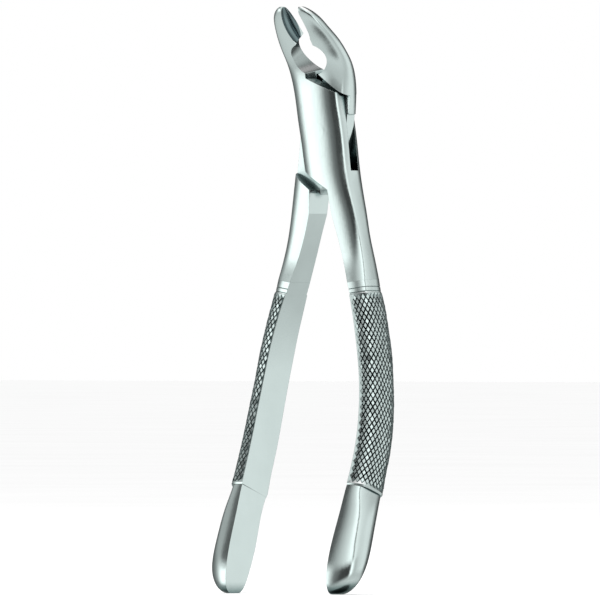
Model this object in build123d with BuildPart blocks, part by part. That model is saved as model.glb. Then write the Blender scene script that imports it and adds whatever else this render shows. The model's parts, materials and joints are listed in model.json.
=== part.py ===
from build123d import *
import os

# Dental extraction forceps with a box joint, in millimetres.
# The long axis stands along +Z with the beaks up, and the ends of the handles touch Z = 0.
# The hinge axis runs along Y. The female half is the left beak, the slotted box and the right handle.
# The male half is the right beak, the tongue through the slot and the left handle.

HINGE_Y = 9.1  # the middle plane of the box joint, which puts the whole part evenly about Y = 0
PIVOT_Z = 133.0
PIN_RADIUS = 2.4
PIN_RUNNING_GAP = 0.03
TONGUE_THICKNESS = 3.3
SLOT_WIDTH = 3.4
DEPTH = 30.0  # half the length along Y of a cutter that goes right through

BEAK_ZONE_Z = 148.0
JOINT_ZONE_Z = 112.0
GRIP_TOP_Z = 90.0  # the height of each end of a grip on the handle's middle line
GRIP_BOTTOM_Z = 29.5
GRIP_TOP_SLOPE = 0.15  # how fast the grip's top end rises outwards, along X
GRIP_BOTTOM_SLOPE = -0.36  # how fast its bottom end rises backwards, along Y
GRIP_TOP_MIDDLE_X = 13.9
GRIP_BOTTOM_MIDDLE_Y = -9.8  # measured from the hinge plane

BEAK_GAP_X = 3.3  # half the gap between the parallel inner faces of the beaks
BEAK_LEAN = 39.0  # degrees from upright, towards -Y
SPOON_RADIUS = 3.25
SPOON_HALF_LENGTH = 8.0
SPOON_DEPTH = 1.3
SPOON_CENTRE_Y = -12.6
SPOON_CENTRE_Z = 163.6

hinge_plane = Plane.XZ.offset(-HINGE_Y)

# Level sections of one forging from below the grip's lower end to the beak tip, each one
# (height, centre x, centre y, reach along x, reach along y, corner fullness).
# Here and in the tables below, y is measured from the hinge plane.
FORGING = [
    (16.0, 19.1, -14.7, 6.8, 6.2, 0.82),
    (22.0, 19.25, -12.5, 6.8, 6.25, 0.82),
    (28.0, 19.4, -10.3, 6.7, 6.3, 0.82),
    (33.8, 19.6, -8.3, 6.1, 6.1, 0.82),
    (40.8, 19.65, -5.9, 5.8, 6.05, 0.82),
    (47.7, 19.4, -4.1, 5.6, 5.95, 0.82),
    (54.6, 18.8, -2.8, 5.5, 5.85, 0.82),
    (61.5, 17.9, -1.8, 5.4, 5.75, 0.82),
    (68.4, 16.8, -1.1, 5.5, 5.7, 0.82),
    (75.3, 15.2, -0.6, 5.7, 5.5, 0.82),
    (82.2, 13.2, -0.1, 6.1, 5.2, 0.82),
    (89.1, 10.9, 0.2, 6.5, 4.6, 0.82),
    (96.0, 8.5, 0.6, 7.1, 4.0, 0.84),
    (102.5, 6.2, 0.6, 7.8, 3.8, 0.84),
    (109.4, 4.2, 0.5, 8.4, 4.1, 0.84),
    (116.0, 2.8, 0.2, 8.4, 4.65, 0.82),
    (123.0, 1.5, 0.0, 8.5, 5.0, 0.8),
    (129.0, 0.7, -0.1, 8.6, 5.0, 0.8),
    (136.0, -0.3, -0.4, 8.7, 5.0, 0.8),
    (143.0, -1.1, -1.0, 8.6, 4.95, 0.8),
    (149.0, -1.7, -2.2, 8.8, 4.6, 0.78),
    (153.1, -2.5, -4.0, 8.5, 4.0, 0.76),
    (156.5, -3.0, -6.4, 8.0, 3.6, 0.75),
    (160.0, -3.0, -9.1, 7.4, 3.3, 0.75),
    (163.4, -3.0, -12.0, 6.1, 3.0, 0.74),
    (165.2, -3.0, -13.4, 5.3, 2.8, 0.73),
    (166.9, -3.0, -14.7, 4.1, 2.4, 0.72),
    (168.2, -3.0, -15.7, 2.6, 1.7, 0.7),
    (168.9, -3.2, -16.3, 1.0, 0.8, 0.68),
]

# Level sections of the smooth handle end, from its round nose up. It stands in from the grip.
HANDLE_END = [
    (0.0, 19.0, -19.4, 2.3, 1.7, 0.56),
    (1.2, 19.0, -19.2, 4.9, 3.6, 0.6),
    (4.0, 19.0, -18.6, 7.2, 4.8, 0.62),
    (9.0, 19.0, -17.2, 8.5, 5.65, 0.66),
    (17.0, 19.15, -14.6, 8.0, 5.85, 0.72),
    (25.0, 19.35, -11.7, 6.9, 5.75, 0.78),
    (33.0, 19.6, -8.7, 5.6, 5.65, 0.8),
]

# The flat inner face of a handle, as (x, z) from the handle's end up to the crotch.
INNER_FACE = [
    (18.95, -1.0),
    (19.2, 20.0),
    (19.65, 40.0),
    (17.9, 61.5),
    (13.2, 82.2),
    (8.5, 96.0),
    (4.2, 109.4),
]
CROTCH = (3.4, 116.3)

# The edges of the box's cheeks and the male shoulders above and below them, each a line of (x, z).
CHEEK_TOP = [(-2.9, 148.3), (7.9, 143.8)]
CHEEK_BOTTOM = [(-8.8, 123.6), CROTCH]
SHOULDER_TOP = [(0.3, 150.9), (8.3, 144.5)]
SHOULDER_BOTTOM = [(-10.1, 121.1), (-1.4, 114.8)]


def level_section(side, height, centre_x, centre_y, reach_x, reach_y, fullness):
    """One closed level section: four quarter curves, boxier as the fullness rises."""
    corners = [(1, 1), (-1, 1), (-1, -1), (1, -1)]
    middle_y = HINGE_Y + centre_y
    with BuildSketch(Plane.XY.offset(height)) as outline:
        with BuildLine():
            for n, (sx, sy) in enumerate(corners):
                far_x = side * centre_x + sx * reach_x
                far_y = middle_y + sy * reach_y
                quarter = [
                    (far_x, middle_y),
                    (far_x, middle_y + sy * fullness * reach_y),
                    (side * centre_x + sx * fullness * reach_x, far_y),
                    (side * centre_x, far_y),
                ]
                Bezier(*(quarter if n % 2 == 0 else quarter[::-1]))
        make_face()
    return outline.sketch


def along(line, x):
    """The point at x on the straight line through two (x, z) points."""
    (x0, z0), (x1, z1) = line
    return (x, z0 + (z1 - z0) * (x - x0) / (x1 - x0))


def lofted(side, sections):
    with BuildPart() as blank:
        loft([level_section(side, *section) for section in sections])
    return blank.part


def inner_side(side, plane=Plane.XY):
    """The region outside a handle's inner face, up to the crotch, as a sketch on the plane."""
    face = [(side * x, z) for x, z in INNER_FACE]
    with BuildSketch(plane) as region:
        with BuildLine():
            Spline(*face)
            Polyline(
                face[-1],
                (side * CROTCH[0], CROTCH[1]),
                (side * 40, CROTCH[1]),
                (side * 40, -1),
                face[0],
            )
        make_face()
    return region.sketch


# The female half's outline seen along Y: beak, cheeks between their slanted edges, then the handle.
with BuildSketch(hinge_plane) as female_region:
    with BuildLine():
        Polyline(
            (-BEAK_GAP_X, 175),
            (-BEAK_GAP_X, 156),
            (CHEEK_TOP[0][0], 154),
            CHEEK_TOP[0],
            along(CHEEK_TOP, 16),
            (40, 130),
            (40, CROTCH[1]),
            CROTCH,
            along(CHEEK_BOTTOM, -16),
            (-16, 175),
            close=True,
        )
    make_face()
    add(inner_side(1))


# The male half's outline: beak, tongue with its relieved corners, then the handle.
with BuildSketch(hinge_plane) as male_region:
    with BuildLine():
        Polyline(
            (BEAK_GAP_X, 175),
            (BEAK_GAP_X, 156),
            (SHOULDER_TOP[0][0], 152.5),
            SHOULDER_TOP[0],
            (0.3, 149.9),
            (-1.5, 146),
            (-7.4, 141),
            (-16, 141),
            (-40, 130),
            (-40, CROTCH[1]),
            (-CROTCH[0], CROTCH[1]),
            SHOULDER_BOTTOM[1],
            (-1.6, 116.2),
            (6.5, 123.6),
            (7.3, 127.5),
            (8.0, 132),
            (8.6, 138),
            (16, 139),
            (16, 175),
            close=True,
        )
    make_face()
    add(inner_side(-1))

# The box's slot, where the tongue lies and swings, seen along Y.
with BuildSketch(hinge_plane) as slot_region:
    with BuildLine():
        Polyline(
            (16, 121.8),
            (6, 121.8),
            (1.6, 116),
            (-16, 116),
            (-16, 144.2),
            (-6, 144.2),
            (-3, 149.6),
            (-1, 153),
            (16, 153),
            close=True,
        )
    make_face()

# What the cheeks fill on the male half, above and below the tongue's thickness.
with BuildSketch(hinge_plane) as cheek_pocket:
    with BuildLine():
        Polyline(
            along(SHOULDER_TOP, -14),
            along(SHOULDER_TOP, 20),
            along(SHOULDER_BOTTOM, 14),
            along(SHOULDER_BOTTOM, -20),
            close=True,
        )
    make_face()

# The round throat between the beaks widens towards the back, because the beaks lean forward.
with BuildPart() as throat:
    with BuildSketch(hinge_plane.offset(12)) as throat_front:
        with Locations((0, 152.9)):
            Ellipse(5.7, 4.6)
    with BuildSketch(hinge_plane.offset(-3)) as throat_back:
        with Locations((0, 161.4)):
            Ellipse(8.5, 10.7)
    loft()


def spoon(side):
    """The long shallow hollow in a beak's inner face, an ellipsoid that leans with the beak."""
    middle_x = BEAK_GAP_X - SPOON_RADIUS + SPOON_DEPTH
    middle = Vector(side * middle_x, HINGE_Y + SPOON_CENTRE_Y, SPOON_CENTRE_Z)
    lean = Vector(0, 0, 1).rotate(Axis.X, BEAK_LEAN)
    with BuildPart() as hollow:
        with BuildSketch(Plane(origin=middle, x_dir=lean, z_dir=(1, 0, 0))) as profile:
            Ellipse(SPOON_HALF_LENGTH, SPOON_RADIUS)
            split(bisect_by=Plane.XZ)
        revolve(axis=Axis(middle, lean))
    return hollow.part


def half_forging(side, region):
    """One half with its true outline and hollows, before the joint is cut."""
    with BuildPart() as half:
        add(lofted(side, FORGING))
        extrude(region, amount=DEPTH, both=True, mode=Mode.INTERSECT)
        add(throat.part, mode=Mode.SUBTRACT)
        add(spoon(-side), mode=Mode.SUBTRACT)
    return half.part


with BuildPart() as female_half:
    add(half_forging(1, female_region.sketch))
    extrude(slot_region.sketch, amount=SLOT_WIDTH / 2, both=True, mode=Mode.SUBTRACT)

with BuildPart() as male_half:
    add(half_forging(-1, male_region.sketch))
    with BuildSketch(hinge_plane.offset(TONGUE_THICKNESS / 2)) as front_pocket:
        add(cheek_pocket.sketch_local)
    extrude(amount=DEPTH, mode=Mode.SUBTRACT)
    with BuildSketch(hinge_plane.offset(-TONGUE_THICKNESS / 2)) as back_pocket:
        add(cheek_pocket.sketch_local)
    extrude(amount=-DEPTH, mode=Mode.SUBTRACT)

with BuildPart() as pin_stock:
    with BuildSketch(hinge_plane):
        with Locations((0, PIVOT_Z)):
            Circle(PIN_RADIUS)
    extrude(amount=DEPTH, both=True)

with BuildPart() as tongue_bore:
    with BuildSketch(hinge_plane):
        with Locations((0, PIVOT_Z)):
            Circle(PIN_RADIUS + PIN_RUNNING_GAP)
    extrude(amount=DEPTH, both=True)


beak_plane = Plane.XY.offset(BEAK_ZONE_Z)
joint_plane = Plane.XY.offset(JOINT_ZONE_Z)
grip_bottom_plane = Plane(
    origin=(0, HINGE_Y + GRIP_BOTTOM_MIDDLE_Y, GRIP_BOTTOM_Z),
    x_dir=(1, 0, 0),
    z_dir=(0, -GRIP_BOTTOM_SLOPE, 1),
)


def grip_top_plane(side):
    """The plane square to a handle at the top of its grip."""
    return Plane(
        origin=(side * GRIP_TOP_MIDDLE_X, HINGE_Y, GRIP_TOP_Z),
        x_dir=(1, 0, side * GRIP_TOP_SLOPE),
        z_dir=(-side * GRIP_TOP_SLOPE, 0, 1),
    )


def zone(half, low, high):
    """The stretch of one half between two planes."""
    with BuildPart() as stretch:
        add(half)
        if high is not None:
            split(bisect_by=high, keep=Keep.BOTTOM)
        if low is not None:
            split(bisect_by=low, keep=Keep.TOP)
    return stretch.part


with BuildPart() as female_beak:
    add(zone(female_half.part, beak_plane, None))

with BuildPart() as female_box:
    add(zone(female_half.part, joint_plane, beak_plane))
    add(pin_stock.part, mode=Mode.SUBTRACT)

with BuildPart() as female_shank:
    add(zone(female_half.part, grip_top_plane(1), joint_plane))

with BuildPart() as female_grip:
    add(zone(female_half.part, grip_bottom_plane, grip_top_plane(1)))

with BuildPart() as pivot_pin:
    add(lofted(1, FORGING))
    add(pin_stock.part, mode=Mode.INTERSECT)

with BuildPart() as male_beak:
    add(zone(male_half.part, beak_plane, None))

with BuildPart() as male_tongue:
    add(zone(male_half.part, joint_plane, beak_plane))
    add(tongue_bore.part, mode=Mode.SUBTRACT)

with BuildPart() as male_shank:
    add(zone(male_half.part, grip_top_plane(-1), joint_plane))

with BuildPart() as male_grip:
    add(zone(male_half.part, grip_bottom_plane, grip_top_plane(-1)))


def handle_end(side):
    """The smooth bullet-shaped end of a handle, with the same flat inner face."""
    with BuildPart() as end:
        add(lofted(side, HANDLE_END))
        extrude(inner_side(side, hinge_plane), amount=DEPTH, both=True, mode=Mode.INTERSECT)
        split(bisect_by=grip_bottom_plane, keep=Keep.BOTTOM)
    return end.part


with BuildPart() as female_end:
    add(handle_end(1))

with BuildPart() as male_end:
    add(handle_end(-1))

nodes = {
    "female_beak": female_beak,
    "female_box_joint": female_box,
    "female_shank": female_shank,
    "female_knurled_grip": female_grip,
    "female_handle_end": female_end,
    "pivot_pin": pivot_pin,
    "male_beak": male_beak,
    "male_tongue": male_tongue,
    "male_shank": male_shank,
    "male_knurled_grip": male_grip,
    "male_handle_end": male_end,
}

os.makedirs("parts", exist_ok=True)
for name, node in nodes.items():
    node.part.label = name
    export_step(node.part, f"parts/{name}.step")
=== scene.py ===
import json
import math
import random

import bmesh
import bpy
import numpy as np
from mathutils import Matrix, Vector


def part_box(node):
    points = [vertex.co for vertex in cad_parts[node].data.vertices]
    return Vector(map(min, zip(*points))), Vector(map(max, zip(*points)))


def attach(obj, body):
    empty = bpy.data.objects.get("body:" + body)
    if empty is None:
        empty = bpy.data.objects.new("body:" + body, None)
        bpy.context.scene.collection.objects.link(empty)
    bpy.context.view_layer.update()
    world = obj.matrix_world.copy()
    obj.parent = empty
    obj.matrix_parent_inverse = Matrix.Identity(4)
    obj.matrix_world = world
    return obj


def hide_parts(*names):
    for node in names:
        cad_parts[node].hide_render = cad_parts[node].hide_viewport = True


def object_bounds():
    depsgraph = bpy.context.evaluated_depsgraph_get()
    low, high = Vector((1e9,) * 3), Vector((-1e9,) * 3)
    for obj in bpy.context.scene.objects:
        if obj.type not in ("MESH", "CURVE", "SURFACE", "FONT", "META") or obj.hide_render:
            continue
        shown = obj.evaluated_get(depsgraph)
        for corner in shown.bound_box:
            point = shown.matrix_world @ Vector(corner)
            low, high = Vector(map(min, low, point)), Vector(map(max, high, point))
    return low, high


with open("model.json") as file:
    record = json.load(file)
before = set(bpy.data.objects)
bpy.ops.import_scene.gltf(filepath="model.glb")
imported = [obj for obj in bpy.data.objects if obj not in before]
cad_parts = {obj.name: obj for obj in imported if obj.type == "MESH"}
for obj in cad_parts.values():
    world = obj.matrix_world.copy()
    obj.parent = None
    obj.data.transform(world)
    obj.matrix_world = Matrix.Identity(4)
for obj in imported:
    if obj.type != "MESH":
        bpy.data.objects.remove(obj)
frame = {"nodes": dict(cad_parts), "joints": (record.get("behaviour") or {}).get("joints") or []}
cad_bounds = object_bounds()

MM = 0.001
scene = bpy.context.scene
_, HINGE_Y, HINGE_Z = frame["joints"][0]["pos_m"]

# ---------------------------------------------------------------- camera
CAMERA_AZIMUTH = math.radians(40)
CAMERA_DISTANCE = 6.0  # far off, because the view has almost no perspective
PICTURE_WIDTH = 172.8 * MM  # how much of the plane through the object the picture spans
SENSOR = 36.0
AIM_ACROSS = -8.09 * MM  # from the hinge, along the picture, to the picture's middle
AIM_HEIGHT = 84.5 * MM


def build_camera():
    across = Vector((math.cos(CAMERA_AZIMUTH), math.sin(CAMERA_AZIMUTH), 0))
    backward = Vector((math.sin(CAMERA_AZIMUTH), -math.cos(CAMERA_AZIMUTH), 0))
    aim = across * (AIM_ACROSS + HINGE_Y * math.sin(CAMERA_AZIMUTH)) + Vector((0, 0, AIM_HEIGHT))
    lens = bpy.data.cameras.new("camera")
    lens.sensor_width = SENSOR
    lens.lens = SENSOR * CAMERA_DISTANCE / PICTURE_WIDTH
    lens.clip_start, lens.clip_end = 0.05, 60
    camera = bpy.data.objects.new("camera", lens)
    scene.collection.objects.link(camera)
    camera.location = aim + backward * CAMERA_DISTANCE
    camera.rotation_mode = "QUATERNION"
    camera.rotation_quaternion = (-backward).to_track_quat("-Z", "Y")
    scene.camera = camera


build_camera()
scene.view_settings.view_transform = "Standard"


# ---------------------------------------------------------------- node helpers
def node_tree(owner):
    owner.use_nodes = True
    tree = owner.node_tree
    tree.nodes.clear()
    return tree


def feed(tree, socket, value):
    """Give a socket a number, a colour or another node's output."""
    if isinstance(value, bpy.types.NodeSocket):
        tree.links.new(value, socket)
    else:
        socket.default_value = value


def add_node(tree, kind, **settings):
    """A new node. A setting named like one of its sockets goes there, and any other is a property."""
    node = tree.nodes.new(kind)
    for key, value in settings.items():
        if key in node.inputs:
            feed(tree, node.inputs[key], value)
        else:
            setattr(node, key, value)
    return node


def math_node(tree, operation, *values, clamp=False):
    node = add_node(tree, "ShaderNodeMath", operation=operation, use_clamp=clamp)
    for socket, value in zip(node.inputs, values):
        feed(tree, socket, value)
    return node.outputs[0]


def fade(tree, value, start, steepness, clamp=True):
    """0 up to the start, and from there up by the steepness for each 1 of the value."""
    return math_node(tree, "MULTIPLY_ADD", value, steepness, -steepness * start, clamp=clamp)


def average(tree, first, second, weight=0.5):
    """The average of two values, with the first one's weight."""
    return math_node(tree, "MULTIPLY_ADD", first, weight, math_node(tree, "MULTIPLY", second, 1 - weight))


def mix_colours(tree, factor, first, second, blend_type="MIX"):
    node = add_node(tree, "ShaderNodeMix", data_type="RGBA", blend_type=blend_type)
    for number, value in ((0, factor), (6, first), (7, second)):  # the colour sockets of a Mix node
        feed(tree, node.inputs[number], value)
    return node.outputs[2]


def split(tree, vector):
    """The X, Y and Z of a vector."""
    return add_node(tree, "ShaderNodeSeparateXYZ", Vector=vector).outputs


def ramp(tree, factor, stops):
    """A ColorRamp with a grey or a colour at each stop."""
    node = add_node(tree, "ShaderNodeValToRGB", Fac=factor)
    elements = node.color_ramp.elements
    while len(elements) > 1:
        elements.remove(elements[-1])
    for n, (position, colour) in enumerate(stops):
        element = elements[0] if n == 0 else elements.new(position)
        element.position = position
        if isinstance(colour, (int, float)):
            colour = (colour, colour, colour)
        element.color = (*colour, 1)
    return node.outputs[0]


# ---------------------------------------------------------------- world and lights
def tone(level):
    """A wall's colour, slightly sea green."""
    return (level * 0.86, level, level * 0.975)


# How bright the studio's walls are in each direction round the object, in degrees: 0 is in front of it,
# on the -Y side, and 90 is on its right, on the +X side.
WALLS = [
    (-90, 0.18), (-80, 0.24), (-72, 0.34), (-64, 0.6), (-58, 1.0), (-52, 1.3), (-44, 1.35), (-38, 1.15),
    (-32, 0.72), (-26, 0.36), (-19, 0.18), (-8, 0.12), (4, 0.055), (44, 0.04), (49, 0.25), (55, 1.1),
    (61, 1.35), (72, 0.7), (84, 0.5), (100, 0.66), (132, 0.8), (148, 0.76), (158, 0.3), (172, 0.09),
    (205, 0.06), (216, 0.1), (232, 0.1), (262, 0.14), (270, 0.18),
]
# The same for the ring about 30 degrees above the horizon, which the fronts of the handle ends reflect.
HIGH_WALLS = [
    (-90, 0.42), (-62, 0.38), (-54, 0.12), (-42, 0.07), (-34, 0.26), (-26, 0.42), (-12, 0.6), (10, 0.8),
    (35, 1.15), (51, 1.2), (56, 0.3), (61, 0.3), (67, 0.95), (90, 0.8), (115, 0.72), (135, 0.6), (150, 0.45),
    (168, 0.12), (235, 0.1), (270, 0.42),
]
# How bright the ground is by the sine of the angle below the horizon, up to straight down at 1.
GROUND = [(0.3, tone(0.5)), (0.72, tone(0.66)), (0.78, tone(0.6)), (0.86, tone(0.12)), (1.0, tone(0.06))]
CEILING = (1.25, 1.25, 1.25, 1)
# Where each of them takes over from the walls: the sine of the angle above the horizon, and how fast.
HIGH_WALLS_START, HIGH_WALLS_STEEPNESS = 0.15, 6.0
GROUND_START, GROUND_STEEPNESS = -0.2, -5.0
CEILING_START, CEILING_STEEPNESS, CEILING_ROUNDING = 0.7, 4.0, 0.2
REFLECTION_STRENGTH = 1.05


def ring_of_walls(tree, around, walls):
    return ramp(tree, around, [(azimuth / 360 + 0.25, tone(level)) for azimuth, level in walls])


def build_world():
    """A white studio. Reflections see its darker and lighter walls instead."""
    world = bpy.data.worlds.new("studio")
    scene.world = world
    tree = node_tree(world)
    direction = add_node(tree, "ShaderNodeTexCoord").outputs["Generated"]
    around = add_node(tree, "ShaderNodeTexGradient", gradient_type="RADIAL", Vector=direction).outputs["Fac"]
    rise = split(tree, direction)[2]
    high = fade(tree, rise, HIGH_WALLS_START, HIGH_WALLS_STEEPNESS)
    walls = mix_colours(
        tree, high, ring_of_walls(tree, around, WALLS), ring_of_walls(tree, around, HIGH_WALLS)
    )
    below = fade(tree, rise, GROUND_START, GROUND_STEEPNESS)
    ground = ramp(tree, math_node(tree, "MULTIPLY", rise, -1.0), GROUND)
    overhead = fade(tree, rise, CEILING_START, CEILING_STEEPNESS, clamp=False)
    overhead = math_node(tree, "SMOOTH_MIN", overhead, 1.0, CEILING_ROUNDING)
    overhead = math_node(tree, "MAXIMUM", overhead, 0.0)
    studio = mix_colours(tree, overhead, mix_colours(tree, below, walls, ground), CEILING)
    white = add_node(tree, "ShaderNodeBackground", Strength=1.0, Color=(1, 1, 1, 1))
    reflected = add_node(tree, "ShaderNodeBackground", Strength=REFLECTION_STRENGTH, Color=studio)
    choose = add_node(tree, "ShaderNodeMixShader")
    feed(tree, choose.inputs[0], add_node(tree, "ShaderNodeLightPath").outputs["Is Glossy Ray"])
    feed(tree, choose.inputs[1], white.outputs[0])
    feed(tree, choose.inputs[2], reflected.outputs[0])
    add_node(tree, "ShaderNodeOutputWorld", Surface=choose.outputs[0])


build_world()

SOFT_BOX_SIZE = 2.4
SOFT_BOX_POWER = 14
SOFT_BOX_PLACE = Vector((-0.3, -0.5, 1.4))
SOFT_BOX_AIM = Vector((0, 0, 0.08))


def build_soft_box():
    light = bpy.data.lights.new("soft_box", "AREA")
    light.shape = "DISK"
    light.size = SOFT_BOX_SIZE
    light.energy = SOFT_BOX_POWER
    soft_box = bpy.data.objects.new("soft_box", light)
    soft_box.location = SOFT_BOX_PLACE
    soft_box.rotation_mode = "QUATERNION"
    soft_box.rotation_quaternion = (SOFT_BOX_AIM - SOFT_BOX_PLACE).to_track_quat("-Z", "Y")
    scene.collection.objects.link(soft_box)
    soft_box.visible_glossy = False


build_soft_box()

FLOOR_REACH = 12.0
FLOOR_DROP = 0.02 * MM  # keeps the floor off the handle ends, which stand on it


def build_floor():
    mesh = bpy.data.meshes.new("floor")
    corners = [(x * FLOOR_REACH, y * FLOOR_REACH, 0) for x, y in ((-1, -1), (1, -1), (1, 1), (-1, 1))]
    mesh.from_pydata(corners, [], [(0, 1, 2, 3)])
    floor = bpy.data.objects.new("floor", mesh)
    floor.location = (0, 0, cad_bounds[0].z - FLOOR_DROP)
    scene.collection.objects.link(floor)
    material = bpy.data.materials.new("pale_floor")
    tree = node_tree(material)
    where = add_node(tree, "ShaderNodeTexCoord").outputs["Object"]
    grain = add_node(tree, "ShaderNodeTexNoise", Scale=8.0, Detail=3.0, Vector=where)
    pale = ramp(tree, grain.outputs["Fac"], [(0.3, 0.94), (0.7, 0.97)])
    shader = add_node(tree, "ShaderNodeBsdfPrincipled", Roughness=0.9)
    shader.inputs["Specular IOR Level"].default_value = 0.0
    feed(tree, shader.inputs["Base Color"], pale)
    add_node(tree, "ShaderNodeOutputMaterial", Surface=shader.outputs[0])
    mesh.materials.append(material)
    floor.visible_glossy = False


build_floor()

# ---------------------------------------------------------------- steel
# Where one forging's nodes meet: level seams at the box joint's two ends, and the slanted ends of the grips.
LEVEL_SEAMS = [corner.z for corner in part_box("female_box_joint")]
GRIP_TOP_SLOPE = 0.15  # how fast a grip's top end rises outwards, as on the CAD node
GRIP_BOTTOM_SLOPE = -0.36  # how fast its bottom end rises backwards
grip_points = [v.co for v in frame["nodes"]["female_knurled_grip"].data.vertices]
TOP_OFFSET = max(p.z - GRIP_TOP_SLOPE * p.x for p in grip_points)
BOTTOM_OFFSET = min(p.z - GRIP_BOTTOM_SLOPE * p.y for p in grip_points)
PIN_RADIUS = (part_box("pivot_pin")[1].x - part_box("pivot_pin")[0].x) / 2
SEAM_WIDTH = 0.3 * MM
PIN_SEAM_WIDTH = 0.35 * MM

BEAK_GAP = 3.3 * MM  # half the gap between the beaks' inner faces, as on the CAD nodes
SPOONS_FROM_Z = 157.5 * MM
SPOON_MARGIN = 0.03 * MM  # how far below the flat inner face the hollow starts
SPOON_FACING = -0.4  # the hollow faces the other beak: the outward part of its normal is below this
# The painted shade that darkens the colour of the spoon hollows.
SPOON_PAINTED_SHADE = (0.3, 0.36, 0.38, 1)

LINE_STRETCH = (1, 1, 0.06)  # the polishing lines run along the tool
LINE_SCALE, CLOUD_SCALE, SPECK_SCALE = 2600.0, 90.0, 900.0  # all for a pattern in metres
BUMP_HEIGHT = 0.1 * MM
PAINTED_SHADE_REACH = 5 * MM  # how near a facing surface has to be for shade to be painted into a hollow
# How dark the painted shade is, by how open a place is.
PAINTED_HOLLOW_SHADES = [(0.25, (0.03, 0.05, 0.05)), (0.55, (0.3, 0.37, 0.37)), (0.85, 1.0)]


def seam_mask(tree, where):
    """1 where two nodes of one forging meet and round the flush pin, where no edge is to be seen."""
    x, _, z = split(tree, where)
    up = math_node(tree, "SUBTRACT", z, HINGE_Z)
    square = math_node(tree, "MULTIPLY_ADD", x, x, math_node(tree, "MULTIPLY", up, up))
    mask = math_node(tree, "COMPARE", math_node(tree, "SQRT", square), PIN_RADIUS, PIN_SEAM_WIDTH)
    slanted = math_node(tree, "MULTIPLY_ADD", math_node(tree, "ABSOLUTE", x), -GRIP_TOP_SLOPE, z)
    for height, seam in [*((z, seam) for seam in LEVEL_SEAMS), (slanted, TOP_OFFSET)]:
        mask = math_node(tree, "MAXIMUM", mask, math_node(tree, "COMPARE", height, seam, SEAM_WIDTH))
    return mask


def spoon_shade_mask(tree, where, normal):
    """1 in the hollow of a beak's inner face, where shade is painted into the steel's colour."""
    x, _, z = split(tree, where)
    outwards = math_node(tree, "MULTIPLY", split(tree, normal)[0], math_node(tree, "SIGN", x))
    facing = math_node(tree, "LESS_THAN", outwards, SPOON_FACING)
    deep = math_node(tree, "GREATER_THAN", math_node(tree, "ABSOLUTE", x), BEAK_GAP + SPOON_MARGIN)
    mask = math_node(tree, "MULTIPLY", facing, deep)
    return math_node(tree, "MULTIPLY", mask, math_node(tree, "GREATER_THAN", z, SPOONS_FROM_Z))


def steel(name, tint, roughness, streak, edge=0.12 * MM, paint_spoon_shade=False):
    """Satin-polished stainless steel: long fine polishing lines, a faint cloudiness and rubbed edges, with
    shade painted into its colour in hollows and narrow gaps, and into the beaks' spoon hollows where asked.
    """
    material = bpy.data.materials.new(name)
    tree = node_tree(material)
    coordinates = add_node(tree, "ShaderNodeTexCoord")
    where = coordinates.outputs["Object"]
    along = add_node(tree, "ShaderNodeMapping", Scale=LINE_STRETCH, Vector=where).outputs[0]
    lines = add_node(tree, "ShaderNodeTexNoise", Scale=LINE_SCALE, Detail=3.0, Roughness=0.6, Vector=along)
    clouds = add_node(tree, "ShaderNodeTexNoise", Scale=CLOUD_SCALE, Detail=4.0, Roughness=0.55, Vector=where)
    specks = add_node(tree, "ShaderNodeTexNoise", Scale=SPECK_SCALE, Detail=2.0, Roughness=0.5, Vector=where)
    lines, clouds, specks = (noise.outputs["Fac"] for noise in (lines, clouds, specks))

    rough = add_node(tree, "ShaderNodeMapRange")
    for socket, value in zip(rough.inputs, (average(tree, lines, clouds), 0.35, 0.65, *roughness)):
        feed(tree, socket, value)

    colour = ramp(tree, clouds, [(0.3, tuple(c * 0.93 for c in tint)), (0.7, tint)])
    # Painted shade: the colour is darkened where other surfaces are near, in hollows and narrow gaps.
    hollow = add_node(tree, "ShaderNodeAmbientOcclusion", samples=8, Distance=PAINTED_SHADE_REACH)
    shade = ramp(tree, hollow.outputs["AO"], PAINTED_HOLLOW_SHADES)
    colour = mix_colours(tree, 1.0, colour, shade, "MULTIPLY")
    # Painted shade: the spoon hollows' colour is darkened.
    if paint_spoon_shade:
        mask = spoon_shade_mask(tree, where, coordinates.outputs["Normal"])
        colour = mix_colours(tree, mask, colour, SPOON_PAINTED_SHADE, "MULTIPLY")

    rounded = add_node(tree, "ShaderNodeBevel", samples=4, Radius=edge)
    normal = add_node(tree, "ShaderNodeMix", data_type="VECTOR")
    feed(tree, normal.inputs[0], seam_mask(tree, where))
    feed(tree, normal.inputs[4], rounded.outputs[0])
    feed(tree, normal.inputs[5], add_node(tree, "ShaderNodeNewGeometry").outputs["Normal"])
    bump = add_node(tree, "ShaderNodeBump", Strength=streak, Distance=BUMP_HEIGHT, Normal=normal.outputs[1])
    feed(tree, bump.inputs["Height"], average(tree, lines, specks, 0.7))

    shader = add_node(tree, "ShaderNodeBsdfPrincipled", Metallic=1.0, Normal=bump.outputs[0])
    feed(tree, shader.inputs["Base Color"], colour)
    feed(tree, shader.inputs["Roughness"], rough.outputs[0])
    add_node(tree, "ShaderNodeOutputMaterial", Surface=shader.outputs[0])
    return material


polished = steel("polished_steel", (0.9, 0.9, 0.9), (0.1, 0.17), streak=0.1)
beak_steel_spoon_shade = steel("beak_steel_spoon_shade", (0.9, 0.9, 0.9), (0.1, 0.17), streak=0.1, paint_spoon_shade=True)
knurled = steel("knurled_steel", (0.84, 0.85, 0.85), (0.14, 0.22), streak=0.15, edge=0.03 * MM)
# Painted shade: the steel in the cut grooves is given a dark colour.
groove = steel("knurl_groove_painted_shade", (0.2, 0.23, 0.23), (0.3, 0.4), streak=0.2, edge=0.02 * MM)

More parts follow.
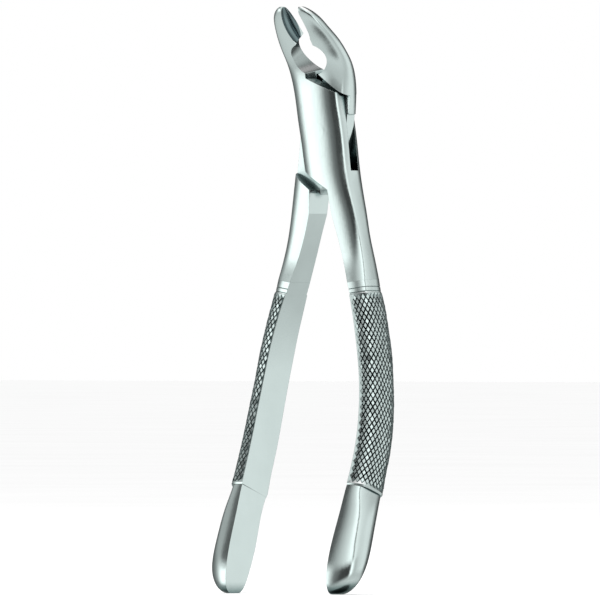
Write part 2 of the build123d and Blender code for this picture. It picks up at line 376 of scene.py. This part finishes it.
# ---------------------------------------------------------------- knurled grips
# Each grip's node: its body, its side (1 is right), and the seed of its diamonds' small differences.
GRIPS = {"female_knurled_grip": ("female_half", 1, 7), "male_knurled_grip": ("male_half", -1, 11)}
KNURL_LOW = 30.3 * MM
KNURL_HIGH = 86.5 * MM
KNURL_ROWS = 48  # half diamonds along the handle
KNURL_COLUMNS = 26  # half diamonds round the outside
RIM = 0.016  # the plain rim beside the flat inner face, as a share of the way round
COLLAR_LINES = (87.0 * MM, 88.2 * MM)
LINE_HALF_WIDTH = 0.12 * MM
LINE_DEPTH = 0.16 * MM

GROOVE_DEPTH = 0.45 * MM
BORDER_DEPTH = 0.12 * MM  # of the grooves' ends at the knurl's border
# How much the diamonds differ: the first two are shares of half a diamond.
WANDER_ROUND, WANDER_ALONG = 0.06, 0.05
GROOVE_SPREAD = (0.85, 1.1)
CROWN_WIDTH = (0.62, 0.72)  # a flat crown's size, as a share of its diamond's
CROWN_SINK = 0.03 * MM
CROWN_TILT = 0.09 * MM
SHARP_ANGLE = math.radians(24)

# The plain ends, as pairs of height and depth below the CAD surface.
BOTTOM_SHOULDER = (KNURL_LOW - 0.2 * MM, 0.06 * MM)
BOTTOM_EDGE_DEPTH = 0.32 * MM
TOP_SHOULDER = (KNURL_HIGH + 0.15 * MM, 0.28 * MM)
COLLAR_DEPTH = 0.26 * MM  # beside the knurl, from where it tapers to nothing at the grip's top end

# Tolerances for reading the CAD mesh.
TOUCHING = 0.01 * MM
FLAT_TOLERANCE = 0.03 * MM
END_MARGIN = 0.05 * MM
SMALLEST_STEP = 0.002 * MM
FIRST_SHARE = 0.0003


class Outline:
    """The CAD grip's outer surface, as outlines from the flat face's front edge round to its back edge.

    The outlines lie in planes that turn evenly from the slant of the grip's lower end to that of its top.
    """

    LEVELS = 160
    AROUND = 240

    def __init__(self, node, side):
        points = np.array([v.co for v in node.data.vertices])
        points[:, 0] *= side
        edges = np.array([e.vertices[:] for e in node.data.edges])
        self.side = side
        above_bottom = points[:, 2] - GRIP_BOTTOM_SLOPE * points[:, 1] - BOTTOM_OFFSET
        below_top = TOP_OFFSET - points[:, 2] + GRIP_TOP_SLOPE * points[:, 0]
        self.low = points[above_bottom < TOUCHING, 2].mean()
        self.high = points[below_top < TOUCHING, 2].mean()
        inner_top = points[below_top < TOUCHING, 2].min()
        self.inner_z = np.linspace(points[:, 2].min() + END_MARGIN, inner_top - END_MARGIN, self.LEVELS)
        level = np.array([0, 0, 1])
        self.inner_x = [self.cut(points, edges, level, z)[:, 0].min() for z in self.inner_z]
        rows = []
        for share in np.linspace(FIRST_SHARE, 1 - FIRST_SHARE, self.LEVELS):
            offset = BOTTOM_OFFSET + (TOP_OFFSET - BOTTOM_OFFSET) * share
            slope = np.array([-GRIP_TOP_SLOPE * share, -GRIP_BOTTOM_SLOPE * (1 - share), 1])
            rows.append(self.outer_path(self.cut(points, edges, slope, offset)))
        self.rows = np.array(rows)

    @staticmethod
    def cut(points, edges, slope, offset):
        """Where the mesh's edges cross a plane."""
        over = points @ slope - offset
        start, end = over[edges[:, 0]], over[edges[:, 1]]
        crossing = start * end < 0
        a, b = points[edges[crossing, 0]], points[edges[crossing, 1]]
        return a + (b - a) * (start[crossing] / (start - end)[crossing])[:, None]

    def outer_path(self, cut):
        """The cut's points in order round the outside, evenly spaced."""
        flat = cut[cut[:, 0] < np.interp(cut[:, 2], self.inner_z, self.inner_x) + FLAT_TOLERANCE]
        front = flat[flat[:, 1].argmin()]
        back = flat[flat[:, 1].argmax()]
        centre = (cut.min(0) + cut.max(0)) / 2

        def bearing(p):
            return math.atan2(p[1] - centre[1], p[0] - centre[0])

        first, last = bearing(front), bearing(back)
        outside = sorted((p for p in cut if first < bearing(p) < last), key=bearing)
        path = np.array([front, *outside, back])
        steps = np.linalg.norm(np.diff(path, axis=0), axis=1)
        path = path[np.concatenate([[True], steps > SMALLEST_STEP])]
        run = np.concatenate([[0], np.cumsum(np.linalg.norm(np.diff(path, axis=0), axis=1))])
        wanted = np.linspace(0, run[-1], self.AROUND + 1)
        return np.stack([np.interp(wanted, run, path[:, n]) for n in range(3)], axis=1)

    def at(self, t, z, depth):
        """The point a share t of the way round at height z, a depth below the surface."""
        k = np.clip((z - self.low) / (self.high - self.low), 0, 1) * (self.LEVELS - 1)
        k0 = min(int(k), self.LEVELS - 2)
        row = self.rows[k0] * (1 - (k - k0)) + self.rows[k0 + 1] * (k - k0)
        m = np.clip(t, 0, 1) * self.AROUND
        m0 = min(int(m), self.AROUND - 1)
        point = row[m0] * (1 - (m - m0)) + row[m0 + 1] * (m - m0)
        before, after = row[max(m0 - 3, 0)], row[min(m0 + 4, self.AROUND)]
        tangent = (after - before)[:2] / np.linalg.norm((after - before)[:2])
        return (self.side * (point[0] - tangent[1] * depth), point[1] + tangent[0] * depth, point[2])


class Knurling:
    """One grip's mesh: diamonds between cut grooves, plain ends with collar lines, and a flat inner face.

    A place on it is (i, j), counted in half diamonds round the outside and along the handle.
    """

    NEIGHBOURS = ((-1, 0), (0, -1), (1, 0), (0, 1))

    def __init__(self, surface, seed):
        self.surface = surface
        self.rng = random.Random(seed)
        self.vertices = []
        self.index = {}
        self.crowns = []
        self.groove_walls = []
        self.plain = []
        self.cut_diamonds()
        self.add_plain_ends()
        self.add_rims()

    def vertex(self, key, t, z, depth):
        """The number of the vertex with this key, which is made the first time."""
        if key not in self.index:
            self.index[key] = len(self.vertices)
            self.vertices.append(self.surface.at(t, z, depth))
        return self.index[key]

    @staticmethod
    def share(i):
        return RIM + (1 - 2 * RIM) * i / KNURL_COLUMNS

    @staticmethod
    def height(j):
        return KNURL_LOW + (KNURL_HIGH - KNURL_LOW) * j / KNURL_ROWS

    def crossing(self, i, j):
        """Where two grooves cross."""
        if i in (0, KNURL_COLUMNS) or j in (0, KNURL_ROWS):
            return self.vertex(("crossing", i, j), self.share(i), self.height(j), BORDER_DEPTH)
        round_by = self.rng.uniform(-WANDER_ROUND, WANDER_ROUND)
        along_by = self.rng.uniform(-WANDER_ALONG, WANDER_ALONG)
        depth = GROOVE_DEPTH * self.rng.uniform(*GROOVE_SPREAD)
        return self.vertex(("crossing", i, j), self.share(i + round_by), self.height(j + along_by), depth)

    def cut_diamonds(self):
        for j in range(KNURL_ROWS + 1):
            for i in range(KNURL_COLUMNS + 1):
                if (i + j) % 2 == 0:
                    continue
                if 0 < i < KNURL_COLUMNS and 0 < j < KNURL_ROWS:
                    self.cut_diamond(i, j)
                else:
                    self.cut_half_diamond(i, j)

    def cut_diamond(self, i, j):
        """A flat, slightly tilted crown with a groove wall on each of its four sides."""
        corners = [self.crossing(i + di, j + dj) for di, dj in self.NEIGHBOURS]
        width = self.rng.uniform(*CROWN_WIDTH)
        sink = self.rng.uniform(0, CROWN_SINK)
        tilt = [self.rng.uniform(0, CROWN_TILT) for _ in range(4)]
        crown = [
            self.vertex(
                ("crown", i, j, n), self.share(i + di * width), self.height(j + dj * width), sink + tilt[n]
            )
            for n, (di, dj) in enumerate(self.NEIGHBOURS)
        ]
        self.crowns.append(crown)
        for n in range(4):
            m = (n + 1) % 4
            self.groove_walls.append([corners[n], corners[m], crown[m], crown[n]])

    def cut_half_diamond(self, i, j):
        """At the border, a low flat half diamond."""
        middle = self.crossing(i, j)
        ring = [
            self.crossing(i + di, j + dj)
            if 0 <= i + di <= KNURL_COLUMNS and 0 <= j + dj <= KNURL_ROWS
            else None
            for di, dj in self.NEIGHBOURS
        ]
        for start, end in zip(ring, ring[1:] + ring[:1]):
            if start is not None and end is not None:
                self.crowns.append([start, end, middle])

    def plain_row(self, key, z, depth):
        places = [0, *(self.share(i) for i in range(KNURL_COLUMNS + 1)), 1]
        return [self.vertex((key, n), t, z, depth) for n, t in enumerate(places)]

    def rim(self, j):
        """The ends of row j on the flat face's front and back edge."""
        return [self.vertex(("rim", t, j), t, self.height(j), 0.0) for t in (0, 1)]

    def border_row(self, j):
        front, back = self.rim(j)
        return [front, *(self.crossing(i, j) for i in range(KNURL_COLUMNS + 1)), back]

    def add_plain_ends(self):
        """The bevelled shoulder below the knurl, and the collar with its engraved lines above."""
        top = self.surface.high
        collar = [TOP_SHOULDER]
        for line in COLLAR_LINES:
            depth = COLLAR_DEPTH * (top - line) / (top - KNURL_HIGH)
            collar += [
                (line - LINE_HALF_WIDTH, depth), (line, depth + LINE_DEPTH), (line + LINE_HALF_WIDTH, depth),
            ]
        collar.append((top, 0.0))
        bottom = [(self.surface.low, BOTTOM_EDGE_DEPTH), BOTTOM_SHOULDER]
        shoulder_rows = [self.plain_row(("bottom", n), z, depth) for n, (z, depth) in enumerate(bottom)]
        shoulder_rows.append(self.border_row(0))
        collar_rows = [self.border_row(KNURL_ROWS)]
        collar_rows += [self.plain_row(("collar", n), z, depth) for n, (z, depth) in enumerate(collar)]
        for rows in (shoulder_rows, collar_rows):
            for lower, upper in zip(rows, rows[1:]):
                for n in range(len(lower)):
                    self.plain.append([lower[n - 1], lower[n], upper[n], upper[n - 1]])
        self.plain.append(shoulder_rows[0][::-1])
        self.plain.append(collar_rows[-1])

    def add_rims(self):
        """The plain rims beside the knurl and the flat face between them."""
        for j in range(KNURL_ROWS):
            front, back = self.rim(j)
            front_above, back_above = self.rim(j + 1)
            last = KNURL_COLUMNS
            self.plain.append([front, self.crossing(0, j), self.crossing(0, j + 1), front_above])
            self.plain.append([self.crossing(last, j), back, back_above, self.crossing(last, j + 1)])
            self.plain.append([back, front, front_above, back_above])


def build_grip(name, body, side, seed):
    knurling = Knurling(Outline(frame["nodes"][name], side), seed)
    parts = (knurling.plain, knurling.crowns, knurling.groove_walls)  # in the order of the materials
    mesh = bpy.data.meshes.new(name + "_knurl")
    mesh.from_pydata(knurling.vertices, [], [face for part in parts for face in part])
    work = bmesh.new()
    work.from_mesh(mesh)
    bmesh.ops.recalc_face_normals(work, faces=work.faces)
    work.to_mesh(mesh)
    work.free()
    mesh.shade_smooth()
    mesh.set_sharp_from_angle(angle=SHARP_ANGLE)
    for material in (polished, knurled, groove):
        mesh.materials.append(material)
    slots = [slot for slot, part in enumerate(parts) for _ in part]
    mesh.polygons.foreach_set("material_index", slots)
    piece = bpy.data.objects.new(name + "_visual", mesh)
    scene.collection.objects.link(piece)
    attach(piece, body)
    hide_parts(name)


for node_name, node in frame["nodes"].items():
    if node_name not in GRIPS:
        node.data.materials.clear()
        node.data.materials.append(beak_steel_spoon_shade if node_name.endswith("_beak") else polished)
for grip_name, details in GRIPS.items():
    build_grip(grip_name, *details)
